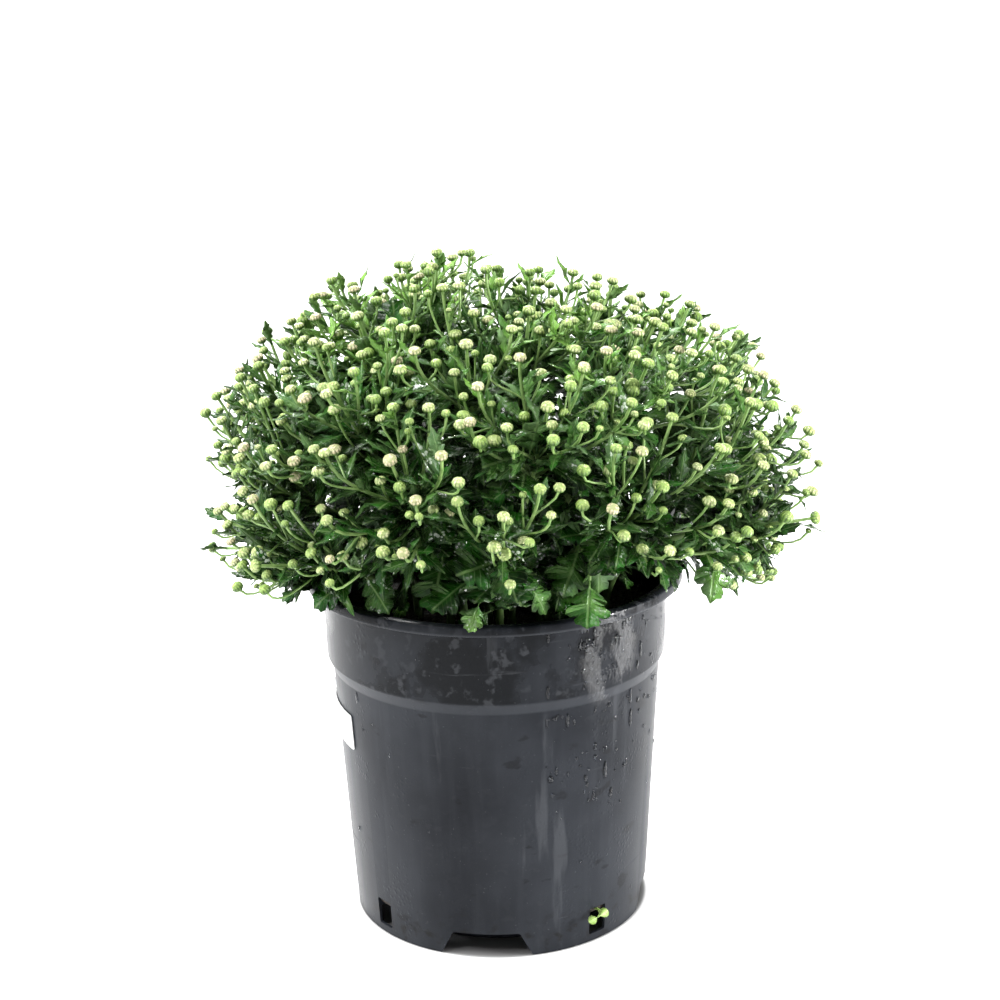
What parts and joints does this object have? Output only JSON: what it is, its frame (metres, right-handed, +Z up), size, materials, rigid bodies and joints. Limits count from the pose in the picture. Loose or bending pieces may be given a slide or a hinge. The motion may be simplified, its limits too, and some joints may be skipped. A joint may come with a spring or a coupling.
{
  "type": "potted chrysanthemum in bud",
  "caption": "Ball-shaped pot chrysanthemum in bud: leafy branching stems with round flower buds, standing in potting mix in a round nursery pot.",
  "frame": {"origin": "centre of the circle that the pot stands on", "axes": "+Z up, front of the plant towards -Y"},
  "size_m": [0.3259, 0.3091, 0.3551],
  "materials": {
    "pot_plastic": "satin moulded charcoal plastic, scuffed and wet",
    "potting_mix": "moist dark fibrous peat mix",
    "label_film": "plain white film, blank",
    "leafy_green": "living green leaves and stems, slightly waxy",
    "bud_green": "pale yellow-green flower buds with darker bracts",
    "seedling_green": "pale lime seed leaves",
    "water": "clear water drops"
  },
  "bodies": {
    "root": {"pot": "pot_plastic", "potting_mix": "potting_mix", "label": "label_film", "seedling": "seedling_green", "leafy_stem_01": "leafy_green", "leafy_stem_02": "leafy_green", "leafy_stem_03": "leafy_green", "leafy_stem_04": "leafy_green", "leafy_stem_05": "leafy_green", "leafy_stem_06": "leafy_green", "leafy_stem_07": "leafy_green", "leafy_stem_08": "leafy_green", "leafy_stem_09": "leafy_green", "leafy_stem_10": "leafy_green", "leafy_stem_11": "leafy_green", "leafy_stem_12": "leafy_green", "leafy_stem_13": "leafy_green", "leafy_stem_14": "leafy_green", "leafy_stem_15": "leafy_green", "leafy_stem_16": "leafy_green", "leafy_stem_17": "leafy_green", "leafy_stem_18": "leafy_green", "leafy_stem_19": "leafy_green", "leafy_stem_20": "leafy_green", "leafy_stem_21": "leafy_green", "leafy_stem_22": "leafy_green", "leafy_stem_23": "leafy_green", "leafy_stem_24": "leafy_green", "leafy_stem_25": "leafy_green", "leafy_stem_26": "leafy_green", "leafy_stem_27": "leafy_green", "leafy_stem_28": "leafy_green", "leafy_stem_29": "leafy_green", "leafy_stem_30": "leafy_green"}
  },
  "joints": []
}
